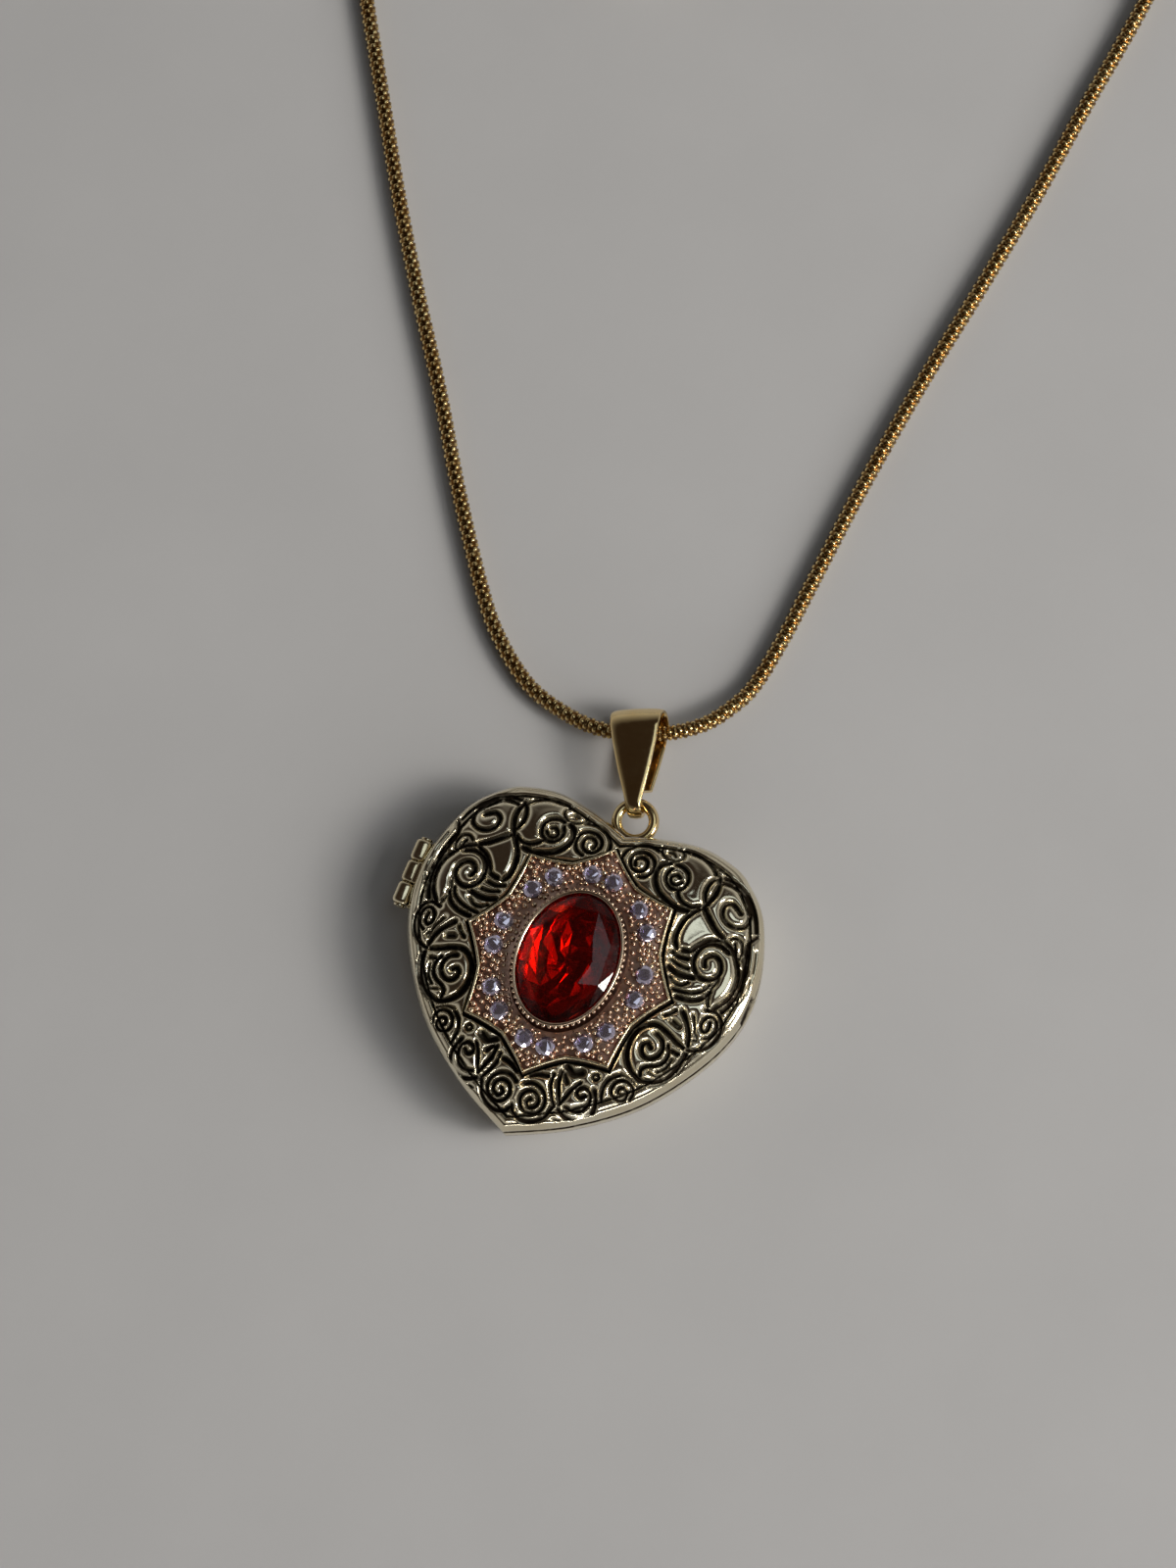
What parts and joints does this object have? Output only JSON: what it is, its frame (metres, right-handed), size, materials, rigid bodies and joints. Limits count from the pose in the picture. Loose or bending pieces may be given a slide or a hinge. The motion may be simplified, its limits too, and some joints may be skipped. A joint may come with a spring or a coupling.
{
  "type": "pendant necklace",
  "caption": "Heart-shaped opening locket with scrollwork and a star of stones round an oval red stone, on a tapered bail and a fine snake chain with a lobster clasp.",
  "frame": {"origin": "centre of the flat back face of the locket", "axes": "+X to the wearer's left of the heart seen from the front, away from the hinge; +Y from the heart's tip to its cleft; +Z out of the front face"},
  "size_m": [0.0674, 0.1201, 0.0082],
  "materials": {
    "locket_gold": "antiqued pale gold plate, polished high spots and blackened recesses",
    "rose_gold": "bright rose gold plate with beaded setting",
    "chain_gold": "polished rose-yellow gold plate, finely plated links",
    "red_stone": "faceted deep red glass",
    "clear_stone": "faceted clear glass, slightly lilac",
    "tie": "plain paper-and-wire tie",
    "spring_steel": "bright spring wire"
  },
  "bodies": {
    "chain": {"snake_chain": "chain_gold", "chain_coil": "chain_gold", "chain_tail": "chain_gold", "coil_tie_1": "tie", "coil_tie_2": "tie", "end_cap_clasp": "locket_gold", "end_cap_ring": "locket_gold"},
    "bail": {"bail": "locket_gold"},
    "locket_back": {"back_cover": "locket_gold", "hinge_knuckle_upper": "locket_gold", "hinge_knuckle_lower": "locket_gold", "hinge_pin": "locket_gold", "hanging_loop": "locket_gold", "photo_frame_back": "locket_gold", "catch_tongue": "locket_gold"},
    "locket_front": {"front_cover": "locket_gold", "hinge_knuckle_middle": "locket_gold", "photo_frame_front": "locket_gold", "star_plate": "rose_gold", "bezel": "locket_gold", "centre_stone": "red_stone", "pave_stone_01": "clear_stone", "pave_stone_02": "clear_stone", "pave_stone_03": "clear_stone", "pave_stone_04": "clear_stone", "pave_stone_05": "clear_stone", "pave_stone_06": "clear_stone", "pave_stone_07": "clear_stone", "pave_stone_08": "clear_stone", "pave_stone_09": "clear_stone", "pave_stone_10": "clear_stone", "pave_stone_11": "clear_stone", "pave_stone_12": "clear_stone", "pave_stone_13": "clear_stone", "pave_stone_14": "clear_stone", "pave_stone_15": "clear_stone", "pave_stone_16": "clear_stone"},
    "jump_ring": {"jump_ring": "locket_gold"},
    "clasp": {"clasp_body": "locket_gold", "clasp_rivet": "locket_gold", "clasp_spring": "spring_steel"},
    "clasp_lever": {"clasp_lever": "locket_gold"},
    "closing_ring": {"closing_ring": "locket_gold"}
  },
  "joints": [
    {"name": "bail_swing", "type": "hinge", "parent": "chain", "child": "bail", "pos_m": [-0.00256, 0.01867, 0.00217], "axis": [0.9188, 0.3457, 0.1905], "range_deg": [-90, 90]},
    {"name": "locket_swing", "type": "hinge", "parent": "bail", "child": "locket_back", "pos_m": [-0.00051, 0.01304, 0.0025], "axis": [0.9188, 0.3457, 0.1905], "range_deg": [-80, 80]},
    {"name": "cover_hinge", "type": "hinge", "parent": "locket_back", "child": "locket_front", "pos_m": [-0.01475, 0.0012, 0.00302], "axis": [0, -1, 0], "range_deg": [0, 160]},
    {"name": "jump_ring_turn", "type": "hinge", "parent": "chain", "child": "jump_ring", "pos_m": [-0.01345, 0.096, 0.00106], "axis": [0, 0, 1], "range_deg": [-35, 35]},
    {"name": "clasp_turn", "type": "hinge", "parent": "jump_ring", "child": "clasp", "pos_m": [-0.01111, 0.096, 0.00106], "axis": [0, 0, 1], "range_deg": [-35, 35]},
    {"name": "lever_press", "type": "hinge", "parent": "clasp", "child": "clasp_lever", "pos_m": [-0.00721, 0.0951, 0.00106], "axis": [0, 0, 1], "range_deg": [0, 25], "stiffness_Nm_per_rad": 0.004, "springref_deg": -17.19},
    {"name": "closing_ring_tilt", "type": "hinge", "parent": "chain", "child": "closing_ring", "pos_m": [0.0129, 0.10055, 0.00106], "axis": [1, 0, 0], "range_deg": [-40, 110]}
  ]
}
